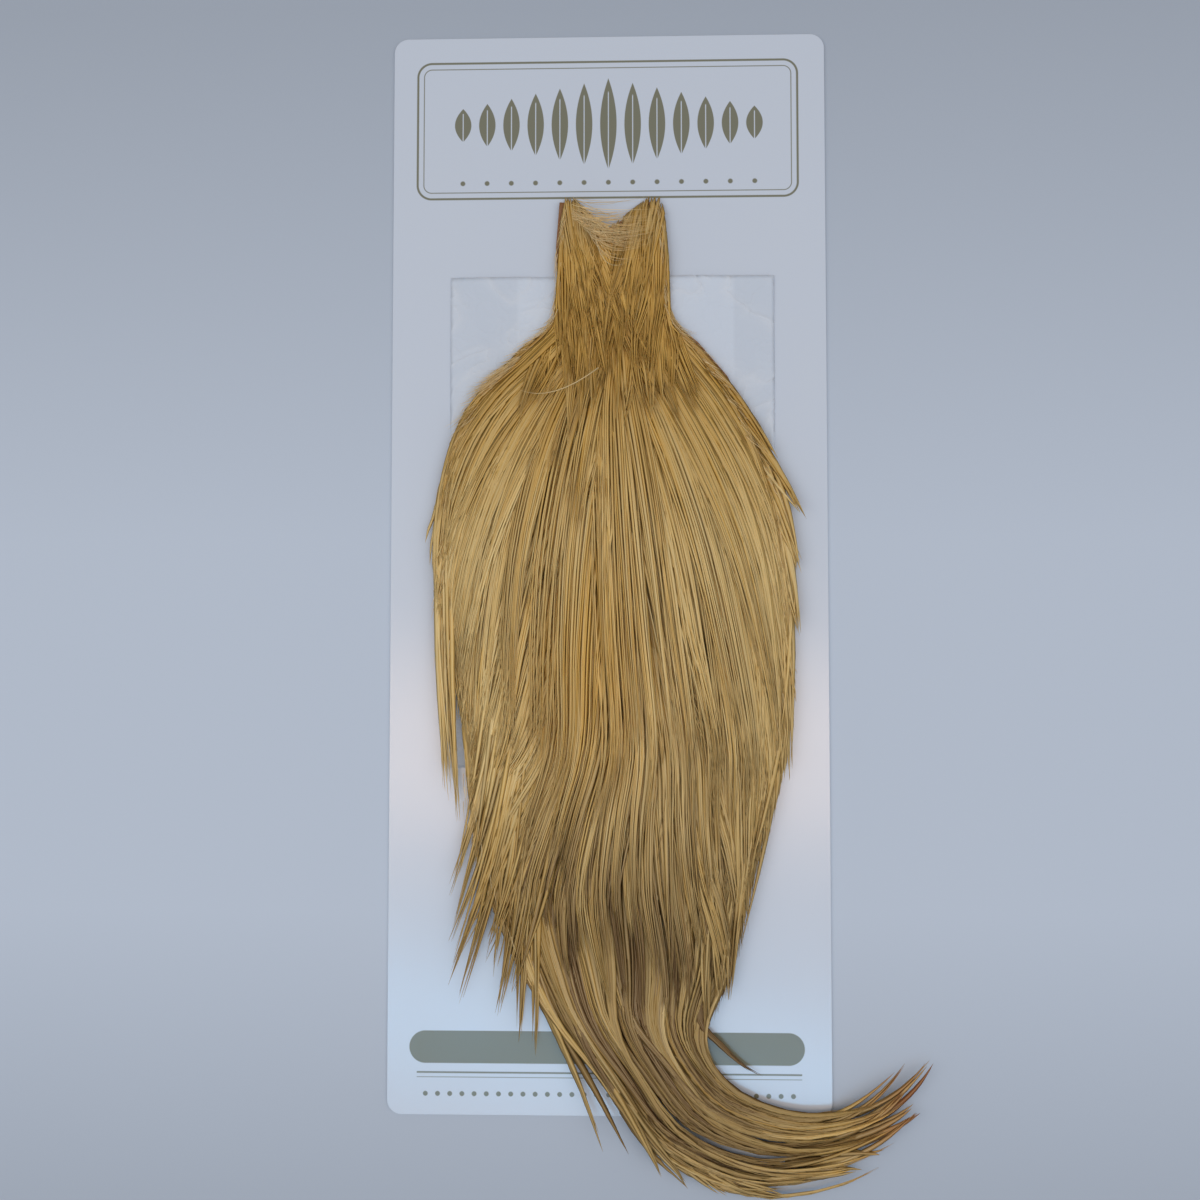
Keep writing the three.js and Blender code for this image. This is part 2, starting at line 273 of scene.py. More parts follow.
class CapeSettings(bpy.types.PropertyGroup):
    """Sizes and colours that a user would change."""

    fullness: bpy.props.FloatProperty(
        name="Fullness", description="Share of the full number of feathers", default=1.0,
        min=0.1, max=1.5, subtype="FACTOR")
    feather_width: bpy.props.FloatProperty(
        name="Feather Width", description="Scales the width of every feather", default=1.0,
        min=0.3, max=2.0, subtype="FACTOR")
    feather_thickness: bpy.props.FloatProperty(
        name="Feather Thickness", description="Height of a feather's shaft over its edges",
        default=0.00026, unit="LENGTH")
    gold: colour_setting("Gold", "Warm colour of the neck and of the sunlit tips",
                         (0.66, 0.38, 0.075))
    buff: colour_setting("Buff", "Pale colour of the body feathers", (0.71, 0.505, 0.2))
    # Dun is also mixed in as painted shade on feathers that lie low in the pile.
    dun: colour_setting("Dun", "Brownish grey of the webs and of the lower feathers",
                        (0.22, 0.123, 0.046))
    rust: colour_setting("Rust", "Reddish brown of the tail tips and the skin's edge",
                         (0.30, 0.095, 0.025))
    card_white: colour_setting("Card White", "Coated face of the card", (0.69, 0.745, 0.825))
    print_olive: colour_setting("Print Olive", "Ink of the card's ornament", (0.19, 0.18, 0.10))
    paper_white: colour_setting("Paper White", "Thin sheet under the skin", (0.72, 0.785, 0.87))
    floor_grey: colour_setting("Floor", "Pale surface that the card lies on",
                               (0.62, 0.685, 0.77))
    lamp_power: bpy.props.FloatProperty(
        name="Lamp Power", description="Power that each softbox has its share of", default=4.5,
        unit="POWER")


def settings():
    """The settings of the current scene."""
    return bpy.context.scene.cape_settings


# Shader maths


class Shade:
    """One socket in a material. Arithmetic on it adds Math nodes, so a formula reads as one."""

    def __init__(self, tree, socket):
        self.tree = tree
        self.socket = socket

    def math(self, operation, *values, clamp=False):
        """A Math node on this value and up to two others."""
        chosen = {"operation": operation, "use_clamp": clamp}
        return add_node(self.tree, "ShaderNodeMath", chosen, dict(enumerate((self, *values))))

    def __add__(self, other):
        return self.math("ADD", other)

    def __sub__(self, other):
        return self.math("SUBTRACT", other)

    def __mul__(self, other):
        return self.math("MULTIPLY", other)

    def __truediv__(self, other):
        return self.math("DIVIDE", other)

    def __pow__(self, other):
        return self.math("POWER", other)

    def __neg__(self):
        return self.math("MULTIPLY", -1)

    def __radd__(self, other):
        return self.math("ADD", other)

    def __rmul__(self, other):
        return self.math("MULTIPLY", other)

    def __rsub__(self, other):
        return (-self).math("ADD", other)

    def __abs__(self):
        return self.math("ABSOLUTE")

    def low(self, other):
        """The smaller of this and another value."""
        return self.math("MINIMUM", other)

    def high(self, other):
        """The larger of this and another value."""
        return self.math("MAXIMUM", other)

    def held(self):
        """This value, held between 0 and 1."""
        return self.math("ADD", 0, clamp=True)

    def below(self, edge, blur):
        """1 where this is under the edge, 0 over it, with a soft step as wide as blur."""
        return ((edge - self) / blur + 0.5).held()


def add_node(tree, kind, chosen=None, inputs=None, output=0):
    """Adds any node: its settings first, then the values or links of its sockets. Returns the
    wanted output."""
    node = tree.nodes.new(kind)
    for name, value in (chosen or {}).items():
        setattr(node, name, value)
    for name, value in (inputs or {}).items():
        if isinstance(value, Shade):
            tree.links.new(value.socket, node.inputs[name])
        else:
            node.inputs[name].default_value = value
    return Shade(tree, node.outputs[output])


def mix_colour(tree, share, first, second, blend="MIX"):
    """A colour between two others, by a share from 0 to 1."""
    first = first if isinstance(first, Shade) else (*first, 1)
    second = second if isinstance(second, Shade) else (*second, 1)
    chosen = {"data_type": "RGBA", "blend_type": blend}
    return add_node(tree, "ShaderNodeMix", chosen, {0: share, 6: first, 7: second}, output=2)


def grey(tree, value):
    """A colour with the same value in its three channels."""
    return add_node(tree, "ShaderNodeCombineColor", {}, {0: value, 1: value, 2: value})


def noise(tree, place, scale, detail=2.0, roughness=0.5, spread=0.0):
    """Noise between 0 and 1 at a place, as one number."""
    inputs = {"Vector": place, "Scale": scale, "Detail": detail, "Roughness": roughness,
              "Distortion": spread}
    return add_node(tree, "ShaderNodeTexNoise", {}, inputs)


def vector(tree, x, y, z):
    """A vector from three values."""
    return add_node(tree, "ShaderNodeCombineXYZ", {}, {0: x, 1: y, 2: z})


def stretched(tree, place, scale):
    """A place scaled by different amounts along its axes."""
    return add_node(tree, "ShaderNodeMapping", {}, {"Vector": place, "Scale": scale})


def object_place(tree):
    """The place in the object's own coordinates, and its x, y and z in millimetres."""
    place = add_node(tree, "ShaderNodeTexCoord", output=3)
    axes = [add_node(tree, "ShaderNodeSeparateXYZ", {}, {0: place}, output=i) for i in range(3)]
    return place, [axis * (1 / MM) for axis in axes]


def attribute(tree, name):
    """The four values of a mesh attribute."""
    chosen = {"attribute_name": name}
    colour = add_node(tree, "ShaderNodeAttribute", chosen)
    parts = [add_node(tree, "ShaderNodeSeparateColor", {}, {0: colour}, output=i)
             for i in range(3)]
    return [*parts, add_node(tree, "ShaderNodeAttribute", chosen, output=3)]


def new_material(name):
    """A material with one Principled shader. Returns the material, its tree and the shader."""
    material = bpy.data.materials.new(name)
    material.use_nodes = True
    tree = material.node_tree
    shader = next(node for node in tree.nodes if node.type == "BSDF_PRINCIPLED")
    return material, tree, shader


def feed(shader, **values):
    """Sets or links a shader's sockets, named with underscores for blanks."""
    for name, value in values.items():
        socket = shader.inputs[name.replace("_", " ")]
        if isinstance(value, Shade):
            value.tree.links.new(value.socket, socket)
        else:
            socket.default_value = value


def bump(tree, height, strength, distance):
    """A normal bent by a height."""
    inputs = {"Height": height, "Strength": strength, "Distance": distance}
    return add_node(tree, "ShaderNodeBump", {}, inputs)


# Materials


def rounded_frame(x, y, centre, half, radius):
    """Distance in millimetres from a rounded rectangle's outline, less than 0 inside: with q
    the place measured from the corner's centre, length(max(q, 0)) + min(max(qx, qy), 0) - r."""
    across = abs(x - centre[0]) - (half[0] - radius)
    along = abs(y - centre[1]) - (half[1] - radius)
    outside = (across.high(0) ** 2 + along.high(0) ** 2) ** 0.5
    return outside + across.high(along).low(0) - radius


def print_pattern(x, y):
    """1 where the card carries ink: a double rounded frame with a row of upright leaves at the
    head, and a bar, two thin lines and a row of dots at the foot."""
    edge = 0.25
    head = rounded_frame(x, y, (-0.5, 155), (67.2, 24.5), 5)
    ink = abs(head).below(0.38, edge)
    ink = ink.high(abs(head + 2.2).below(0.16, edge))
    pitch = 8.6
    cell = (x / pitch).math("ROUND")
    local = abs(x / pitch - cell)
    tall = 16.5 - abs(cell) * 1.75
    lens = (local / 0.34 + ((y - 157) / tall) ** 2).below(1, 0.06)
    vein = local.below(0.02, 0.02) * ((y - 157) / tall).below(0.7, 0.05)
    inside = abs(cell).below(6.5, 0.1)
    ink = ink.high((lens * (1 - vein)) * inside)
    dot = ((x / pitch - cell) ** 2 + ((y - 136) / pitch) ** 2) ** 0.5
    ink = ink.high(dot.below(0.1, 0.04) * inside)
    foot = rounded_frame(x, y, (-0.8, -165.6), (67.8, 5.5), 5.5)
    ink = ink.high(foot.below(0, edge))
    width = abs(x).below(66, edge)
    lines = abs(y + 174.2).below(0.3, edge).high(abs(y + 175.8).below(0.12, edge))
    small = 4.2
    step = (x / small).math("ROUND")
    bead = ((x / small - step) ** 2 + ((y + 181.4) / small) ** 2) ** 0.5
    return ink.high(lines * width).high(bead.below(0.2, 0.06) * width)


def card_material():
    """White coated board: satin gloss, faint waviness, ink a little duller than the coat."""
    material, tree, shader = new_material("coated_card")
    place, (x, y, z) = object_place(tree)
    front = (-z).below(0.01 - CARD_TOP, 0.01)
    ink = print_pattern(x, y) * front
    fibre = noise(tree, place, 900, 3)
    worn = noise(tree, place, 26, 3)
    white = mix_colour(tree, worn * 0.35, settings().card_white, (0.70, 0.735, 0.78))
    white = mix_colour(tree, (z / CARD_TOP).below(0.93, 0.06) * 0.4, white, (0.62, 0.60, 0.56))
    feed(
        shader,
        Base_Color=mix_colour(tree, ink * 0.94, white, settings().print_olive),
        Roughness=0.13 + worn * 0.08 + ink * 0.05 + fibre * 0.03,
        IOR=1.5,
        Specular_IOR_Level=0.8,
        Normal=bump(tree, noise(tree, place, 14, 2) * 0.9 + fibre * 0.02, 0.14, 0.0008),
    )
    return material


def paper_material():
    """Thin paper: crinkled, cloudy with fibres, whiter between the two folds, with painted
    highlights along the crinkles' ridges. A crinkle is a ridge of noise: 1 - 2 |noise - 1/2|, to
    a high power."""
    material, tree, shader = new_material("thin_paper")
    place, (x, y, z) = object_place(tree)
    cloud = noise(tree, place, 34, 4, 0.6)
    fibre = noise(tree, stretched(tree, place, (1, 0.35, 1)), 1400, 3, 0.6)
    ridge = (1 - abs(noise(tree, place, 38, 3, 0.5, 0.8) - 0.5) * 2) ** 9
    fine = (1 - abs(noise(tree, place, 110, 2, 0.5, 0.6) - 0.5) * 2) ** 6
    outer = (-abs(x - 6)).below(-38, 1.2)
    tint = mix_colour(tree, outer * 0.55, settings().paper_white, (0.61, 0.665, 0.74))
    colour = mix_colour(tree, cloud * 0.4, tint, (0.63, 0.675, 0.73))
    # Painted highlight: the crinkles' ridges are painted paler.
    colour = mix_colour(tree, ridge * 0.35, colour, (0.84, 0.86, 0.88))
    feed(
        shader,
        Base_Color=colour,
        Roughness=0.5 + cloud * 0.15,
        Specular_IOR_Level=0.4,
        Normal=bump(tree, ridge + fine * 0.3 + fibre * 0.05, 0.6, 0.0006),
    )
    return material


def steel_material():
    """Flat galvanised staple wire with lengthwise drawing marks."""
    material, tree, shader = new_material("staple_wire")
    place, _ = object_place(tree)
    marks = noise(tree, stretched(tree, place, (1, 14, 14)), 900, 2)
    spots = noise(tree, place, 1600, 3)
    feed(
        shader,
        Base_Color=mix_colour(tree, marks * 0.5, (0.58, 0.59, 0.61), (0.42, 0.43, 0.45)),
        Metallic=1.0,
        Roughness=0.28 + marks * 0.14 + spots * 0.08,
        Normal=bump(tree, marks, 0.2, 0.00005),
    )
    return material


def feather_material():
    """Hackle feathers. The attribute "tint" holds a feather's tone, warmth, dun and rust; the
    attribute "vane" holds the place across it (-1 to 1), along it (0 to 1), the distance from
    its root in centimetres and a number of its own."""
    material, tree, shader = new_material("hackle_vane")
    tone, warmth, dun, rust = attribute(tree, "tint")
    across, along, reach, own = attribute(tree, "vane")
    sweep_back = abs(across)
    streak = noise(tree, vector(tree, (reach - sweep_back * 0.16) * 26, sweep_back * 1.2,
                                own * 37), 1, 3, 0.65)
    line = noise(tree, vector(tree, reach * 0.5, across * 3.4, own * 53), 1, 2, 0.6)
    blotch = noise(tree, vector(tree, reach * 1.6, across * 0.4, own * 91), 1, 2)
    colour = mix_colour(tree, (warmth + (blotch - 0.5) * 0.3).held(), settings().buff,
                        settings().gold)
    colour = mix_colour(tree, (dun + (blotch - 0.5) * 0.12).held(), colour, settings().dun)
    colour = mix_colour(tree, rust, colour, settings().rust)
    # Paler along the shaft: partly the real pale quill, partly a painted highlight along its
    # ridge.
    shaft = sweep_back.below(0.16, 0.16)
    colour = mix_colour(tree, shaft * 0.25, colour, (0.74, 0.58, 0.33))
    # light is the feather's own tone, streaks and lines together with painted shade: darker
    # towards its edges, as if shaded by its neighbours, and, through tone, low in the pile.
    # warm_light paints that shade warmer where it is dark.
    light = (0.78 + tone * 0.84 + (streak - 0.5) * 0.12 + (line - 0.5) * 0.6
             - sweep_back ** 4 * 0.5).high(0.1)
    warm_light = add_node(tree, "ShaderNodeCombineColor", {},
                          {0: light ** 0.85, 1: light, 2: light ** 1.35})
    feed(
        shader,
        Base_Color=mix_colour(tree, 1.0, colour, warm_light, "MULTIPLY"),
        Roughness=0.5 + streak * 0.16,
        Specular_IOR_Level=0.22,
        Normal=bump(tree, line * 1.4 + streak * 0.4 + shaft * 0.5, 0.5, 0.00012),
    )
    return material


def skin_material():
    """Dried skin: brown, oily and pitted where feathers were, redder towards its edge."""
    material, tree, shader = new_material("dried_skin")
    place, _ = object_place(tree)
    patches = noise(tree, place, 90, 4, 0.6)
    pores = add_node(tree, "ShaderNodeTexVoronoi", {}, {"Vector": place, "Scale": 700.0})
    colour = mix_colour(tree, patches, (0.2, 0.08, 0.025), (0.4, 0.2, 0.07))
    feed(
        shader,
        Base_Color=mix_colour(tree, pores * 0.3, colour, settings().rust),
        Roughness=0.34 + patches * 0.25,
        Normal=bump(tree, pores + patches * 0.6, 0.5, 0.0003),
    )
    return material


def down_material():
    """Loose barbs and down: pale, matt and soft, of the tone in the attribute "tint"."""
    material, tree, shader = new_material("loose_barb")
    place, _ = object_place(tree)
    tone, warmth, _, _ = attribute(tree, "tint")
    cloud = noise(tree, place, 240, 2)
    colour = mix_colour(tree, warmth, (0.74, 0.58, 0.32), settings().gold)
    feed(
        shader,
        Base_Color=mix_colour(tree, 1.0, colour, grey(tree, 0.75 + tone * 0.6 + cloud * 0.2),
                              "MULTIPLY"),
        Roughness=0.6,
        Specular_IOR_Level=0.2,
    )
    return material


def floor_material():
    """Plain pale paper backdrop with painted shade that darkens it a little towards the head and
    the foot.
    """
    material, tree, shader = new_material("floor")
    place, (x, y, z) = object_place(tree)
    cloud = noise(tree, place, 3, 2)
    far = ((y - 10) / 190).held() * 0.26 + ((-y - 120) / 110).held() * 0.24
    shade = grey(tree, 1 - far)
    colour = mix_colour(tree, cloud * 0.16, settings().floor_grey, (0.58, 0.62, 0.68))
    feed(
        shader,
        Base_Color=mix_colour(tree, 1.0, colour, shade, "MULTIPLY"),
        Roughness=0.7,
        Specular_IOR_Level=0.25,
    )
    return material


def shared_material(make, name):
    """The material of that name, made on first use."""
    return bpy.data.materials.get(name) or make()


# Meshes


def finish_piece(name, points, face_sets, material, node):
    """Makes a mesh object of points in millimetres and arrays of faces with as many corners
    each, rides it on the root body and lets it stand for a CAD node."""
    corners = [faces.shape[1] for faces in face_sets]
    sizes = np.concatenate([np.full(len(faces), size) for faces, size in
                            zip(face_sets, corners)])
    loops = np.concatenate([faces.ravel() for faces in face_sets])
    mesh = bpy.data.meshes.new(name)
    mesh.vertices.add(len(points))
    mesh.vertices.foreach_set("co", (points * MM).astype(np.float32).ravel())
    mesh.loops.add(len(loops))
    mesh.loops.foreach_set("vertex_index", loops.astype(np.int32))
    mesh.polygons.add(len(sizes))
    starts = np.concatenate([[0], np.cumsum(sizes)[:-1]])
    mesh.polygons.foreach_set("loop_start", starts.astype(np.int32))
    mesh.polygons.foreach_set("use_smooth", np.ones(len(sizes), bool))
    mesh.update(calc_edges=True)
    mesh.validate()
    mesh.materials.append(material)
    piece = bpy.data.objects.new(name, mesh)
    bpy.context.scene.collection.objects.link(piece)
    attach(piece, "root")
    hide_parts(node)
    return piece


def set_attribute(piece, name, values):
    """Stores four numbers at each vertex as a colour attribute."""
    layer = piece.data.attributes.new(name, "FLOAT_COLOR", "POINT")
    layer.data.foreach_set("color", values.astype(np.float32).ravel())


def spline(points, at):
    """Uniform Catmull-Rom curve: at k + t it is the cubic that passes p[k] and p[k + 1] with
    slopes of half the chord between each point's two neighbours."""
    ends = np.vstack([2 * points[0] - points[1], points, 2 * points[-1] - points[-2]])
    k = np.clip(np.floor(at).astype(int), 0, len(points) - 2)
    t = (at - k)[..., None]
    a, b, c, d = ends[k], ends[k + 1], ends[k + 2], ends[k + 3]
    cubic = 3 * b - a - 3 * c + d
    square = 2 * a - 5 * b + 4 * c - d
    return 0.5 * (2 * b + (c - a) * t + square * t ** 2 + cubic * t ** 3)


def crown(side, full):
    """Height of the pile across a rib: edge + (full - edge) * (1 - side squared) ** 0.75."""
    edge = np.minimum(EDGE_HEIGHT, full)
    return edge + (full - edge) * np.clip(1 - side ** 2, 0, 1) ** CROWN_ROUNDNESS


def plumage(ribs, rib, side):
    """Point and pile height of the plumage: straight across a rib from the left outline
    (side -1) to the right one (side 1)."""
    row = spline(ribs, np.clip(rib, 0, len(ribs) - 1))
    share = (side[..., None] + 1) / 2
    place = row[..., 0:2] * (1 - share) + row[..., 2:4] * share
    return place, crown(side, row[..., 4])


def pile_near(place):
    """Pile height at a place of the neck or the shoulders, where the ribs lie level."""
    level = RIBS[:7]
    down = -level[:, [1, 3]].mean(1)
    left, right, full = [np.interp(-place[..., 1], down, level[:, i]) for i in (0, 2, 4)]
    side = (2 * place[..., 0] - left - right) / (right - left)
    return crown(side, full)


def pile_under(places):
    """Pile height under any paths: at the nearest of a grid of places on each set of ribs, the
    higher of the two, evened out along the paths."""
    flat = places.reshape(-1, 2)
    heights = []
    for ribs in (RIBS, MANTLE):
        rib, side = np.meshgrid(np.linspace(0, len(ribs) - 1, 10 * len(ribs)),
                                np.linspace(-1, 1, 21))
        grid, pile = plumage(ribs, rib.ravel(), side.ravel())
        gap = (grid ** 2).sum(1)[None] - 2 * flat @ grid.T
        heights.append(pile[gap.argmin(1)])
    height = np.max(heights, 0).reshape(places.shape[:-1])
    wide = np.pad(height, ((0, 0), (2, 2)), mode="edge")
    rings = height.shape[1]
    return sum(wide[:, i:i + rings] for i in range(5)) / 5


def edges_at(edges, y):
    """Left and right edge at a level, from rows of y, left x and right x."""
    return [np.interp(-y, -edges[:, 0], edges[:, i]) for i in (1, 2)]


def resting_level(y):
    """Lowest level of the plumage: a smooth step down from the paper to the table."""
    t = np.clip((DROP_START - y) / DROP_LENGTH, 0, 1)
    return CAPE_LEVEL + (TABLE_LEVEL - CAPE_LEVEL) * t * t * (3 - 2 * t)


def unit(vectors):
    """Vectors of length 1 along the last axis."""
    return vectors / np.maximum(np.linalg.norm(vectors, axis=-1, keepdims=True), 1e-9)


def bezier(start, bend, end, share):
    """Quadratic Bezier curves, one a row: start (1 - t)^2 + 2 bend t (1 - t) + end t^2."""
    t = share[None, :, None]
    return start[:, None] * (1 - t) ** 2 + bend[:, None] * 2 * t * (1 - t) + end[:, None] * t ** 2


def sweep(centres, half_width, thickness, roll, fold):
    """Blades as closed prisms. Round each centre line runs a section of three points: right
    edge, shaft and left edge. The edges lie half_width out and fold times that down, and the
    shaft stands the thickness up, all turned by roll about the line. Returns points of shape
    (blades, rings, 3, 3)."""
    ahead = unit(np.gradient(centres, axis=1))
    right = unit(np.stack([-ahead[..., 1], ahead[..., 0], np.zeros(ahead.shape[:2])], -1))
    up = np.cross(ahead, right)
    turn = roll[..., None]
    out = right * np.cos(turn) - up * np.sin(turn)
    top = up * np.cos(turn) + right * np.sin(turn)
    wide = half_width[..., None]
    drop = fold * wide
    ring = [centres + out * wide - top * drop, centres + top * thickness[..., None],
            centres - out * wide - top * drop]
    return np.stack(ring, 2)


def blade_faces(count, segments):
    """Faces of count blades: three strips of quads between the rings and a triangle on each
    end."""
    ring = np.arange(segments)[:, None] * 3
    corner = np.arange(3)[None, :]
    after = (corner + 1) % 3
    strip = np.stack([ring + corner, ring + after, ring + 3 + after, ring + 3 + corner], -1)
    caps = np.array([[2, 1, 0], [0, 1, 2]]) + np.array([[0], [segments * 3]])
    start = np.arange(count)[:, None, None] * (segments + 1) * 3
    return [(strip.reshape(-1, 4)[None] + start).reshape(-1, 4),
            (caps[None] + start).reshape(-1, 3)]


def bake_map(piece, count, segments):
    """A map for baking: every blade has a cell of its own, its three strips side by side and
    its ends in the margin."""
    rows = max(1, round(math.sqrt(count / 12)))
    columns = math.ceil(count / rows)
    ring = np.arange(segments)[:, None]
    corner = np.arange(3)[None, :]
    left = (corner + 0.06) / 3.3 + 0 * ring
    right = (corner + 0.94) / 3.3 + 0 * ring
    low = ring / (segments + 0.4) + 0 * corner
    high = (ring + 1) / (segments + 0.4) + 0 * corner
    strip = np.stack([np.stack([left, low], -1), np.stack([right, low], -1),
                      np.stack([right, high], -1), np.stack([left, high], -1)], 2)
    caps = np.array([[[0.93, base], [0.98, base], [0.98, base + 0.04]] for base in (0.1, 0.2)])
    index = np.arange(count)
    cell = np.stack([index % columns / columns, index // columns / rows], -1)[:, None, None]
    size = np.array([1 / columns, 1 / rows])
    places = [(cell + part[None] * size).reshape(-1, 2)
              for part in (strip.reshape(-1, 4, 2), caps)]
    layer = piece.data.uv_layers.new(name="OFBake")
    layer.data.foreach_set("uv", np.concatenate(places).astype(np.float32).ravel())


def blade_piece(name, centres, half_width, thickness, roll, fold, material, tint, vane):
    """One piece of many blades, with the colour attributes of their rings."""
    count, rings = centres.shape[:2]
    points = sweep(centres, half_width, thickness, roll, fold)
    lowest = resting_level(points[..., 1]) - 0.2
    points[..., 2] = np.maximum(points[..., 2], np.maximum(lowest, 0.05))
    piece = finish_piece(name, points.reshape(-1, 3), blade_faces(count, rings - 1), material,
                         "cape")
    set_attribute(piece, "tint", np.repeat(tint[:, :, None], 3, 2).reshape(-1, 4))
    set_attribute(piece, "vane", vane.reshape(-1, 4))
    bake_map(piece, count, rings - 1)
    return piece


def vane_values(centres, rng):
    """Place across, place along, distance from the root in centimetres and own number at every
    point of every ring."""
    count, rings = centres.shape[:2]
    shape = (count, rings, 3)
    across = np.broadcast_to(np.array([1.0, 0.0, -1.0]), shape)
    along = np.broadcast_to(np.linspace(0, 1, rings)[None, :, None], shape)
    span = np.linalg.norm(np.diff(centres, axis=1), axis=-1)
    reach = np.concatenate([np.zeros((count, 1)), np.cumsum(span, 1)], 1) / 10
    reach = np.broadcast_to(reach[..., None], shape)
    own = np.broadcast_to(rng.uniform(0, 1, (count, 1, 1)), shape)
    return np.stack([across, along, reach, own], -1)


def spread_evenly(count):
    """Shares from 0 to 1 that fill the range evenly, in steps of the golden section."""
    golden_section = 0.618034
    return np.arange(count) * golden_section % 1


def wave(rng, count, share, amount):
    """A smooth random bend along each feather: a sine of random phase and pace, 0 at the root."""
    phase = rng.uniform(0, 2 * np.pi, (count, 1))
    pace = rng.uniform(1, 4, (count, 1))
    size = rng.normal(0, amount, (count, 1))
    return size * (np.sin(share * pace + phase) - np.sin(phase)) * share ** 0.5


def blade_profile(share, rng, count):
    """Half width along a hackle: a quick rise from the quill, then a long taper to the point
    as (1 - s ** 2.2) ** 0.85, its edges a little ragged where barbs part."""
    rise = np.clip(share / 0.07, 0.15, 1)
    taper = (1 - share ** 2.2) ** 0.85
    ragged = 1 + rng.normal(0, 0.08, (count, len(share)))
    return np.maximum(rise * taper * ragged, 0.02)


def patch(place, centre, spread):
    """A soft round patch: exp(-(dx / a) ** 2 - (dy / b) ** 2) about a centre."""
    return np.exp(-((place[..., 0] - centre[0]) / spread[0]) ** 2
                  - ((place[..., 1] - centre[1]) / spread[1]) ** 2)


def colour_values(rng, place, share, level, lock_tint):
    """Tone, warmth, dun and rust at every ring, from the ring's place: gold on the neck, down the
    middle of the back and at the lower left; dun towards the tail, in some locks and in the webs
    near the roots; rust on the outermost tail tips. Feathers low in the pile are darker and
    duller: painted shade for the shadow deep in the pile, partly the real dun of the low webs."""
    x, y = place[..., 0], place[..., 1]
    count = len(place)
    lock_tone, lock_dun = [values[:, None] for values in lock_tint]
    # Painted shade: the lower a feather lies in the pile, the darker and duller it is painted.
    depth_shade = np.clip(1 - level, 0, 1)[:, None]
    neck = np.clip((y - 58) / 16, 0, 1)
    shoulder = np.clip((y - 5) / 65, 0, 1)
    low = np.clip((-y - 55) / 75, 0, 1)
    low_left = patch(place, (-34, -118), (22, 30))
    ear = np.clip((y - 106) / 12, 0, 1)
    bend = patch(place, (20, -178), (34, 28))
    right = np.clip(x / 50, 0, 1) * (1 - low)
    tone = (0.54 + rng.normal(0, 0.07, (count, 1)) + lock_tone - 0.5 * depth_shade
            - (0.38 - 0.16 * neck) * shoulder - 0.08 * right - 0.28 * low - 0.14 * ear
            - 0.2 * bend - 0.1 * low_left + 0.16 * patch(place, (4, -60), (28, 45)))
    warmth = (0.22 + 0.62 * shoulder + 0.25 * neck + 0.6 * patch(place, (-8, -35), (17, 42))
              + 0.3 * low_left - 0.55 * ear + rng.normal(0, 0.2, (count, 1)))
    web = np.clip((0.35 - share[None]) / 0.35, 0, 1)
    own_dun = rng.uniform(0, 1, (count, 1)) ** 3
    dun = (0.2 * low + 0.07 * web * (1 - neck) + own_dun * (0.25 + 0.3 * low) * (1 - 0.5 * neck)
           + lock_dun * (0.1 + 0.9 * low + 0.3 * neck) + 0.3 * depth_shade + 0.15 * (ear + bend) - 0.1)
    tail = np.clip((-y - 150) / 10, 0, 1)
    golden_tip = np.clip((share[None] - 0.5) / 0.4, 0, 1) * tail * np.clip((x - 50) / 40, 0, 1)
    ripe = rng.uniform(0, 1, (count, 1)) ** 0.7
    rust = tail * np.clip((x - 80) / 20, 0, 1) * (0.3 + 0.7 * ripe) + 0.2 * neck * lock_dun
    tone = tone + 0.15 * golden_tip
    warmth = warmth + 0.5 * golden_tip
    dun = dun * (1 - 0.7 * golden_tip)
    return np.clip(np.stack([tone, warmth, dun, rust], -1), 0, 1)


def build_feathers(name, places, pile, width, level, rng, lock_tint, tilt, climb, above):
    """One piece of feathers from their paths seen from above. Each starts in the skin and
    climbs through the pile as share ** climb, to its own level of the pile's height, and rises
    by its own number of millimetres more towards the tip."""
    count, rings = places.shape[:2]
    share = np.linspace(0, 1, rings)
    half = width[:, None] / 2 * blade_profile(share, rng, count)
    buried = 0.5
    top = pile - PILE_MARGIN * np.clip(pile / EDGE_HEIGHT - 1, 0, 1)
    rise = np.maximum(top - buried, 0.15) * share[None] ** climb * level[:, None]
    z = resting_level(places[..., 1]) + buried + rise + above[:, None] * share[None] ** 0.7
    thick = np.minimum(settings().feather_thickness / MM, 0.35 * half + 0.04)
    roll = tilt[:, None] + rng.normal(0, 0.1, (count, 1)) * (share[None] - 0.5)
    centres = np.concatenate([places, z[..., None]], -1)
    tint = colour_values(rng, places, share, level, lock_tint)
    return blade_piece(name, centres, half, thick, roll, 0.18,
                       shared_material(feather_material, "hackle_vane"), tint,
                       vane_values(centres, rng))


def parting_drift(side):
    """Sideways drift of the back's feathers, away from the parting on both sides and more so
    to the left: fan * tanh((side - parting) / width) * (1 - |side|) ** 0.6."""
    away = np.tanh((side - PARTING_SIDE) / PARTING_WIDTH)
    fan = np.where(away < 0, PARTING_FANS[0], PARTING_FANS[1])
    return fan * away * np.clip(1 - np.abs(side), 0, 1) ** 0.6


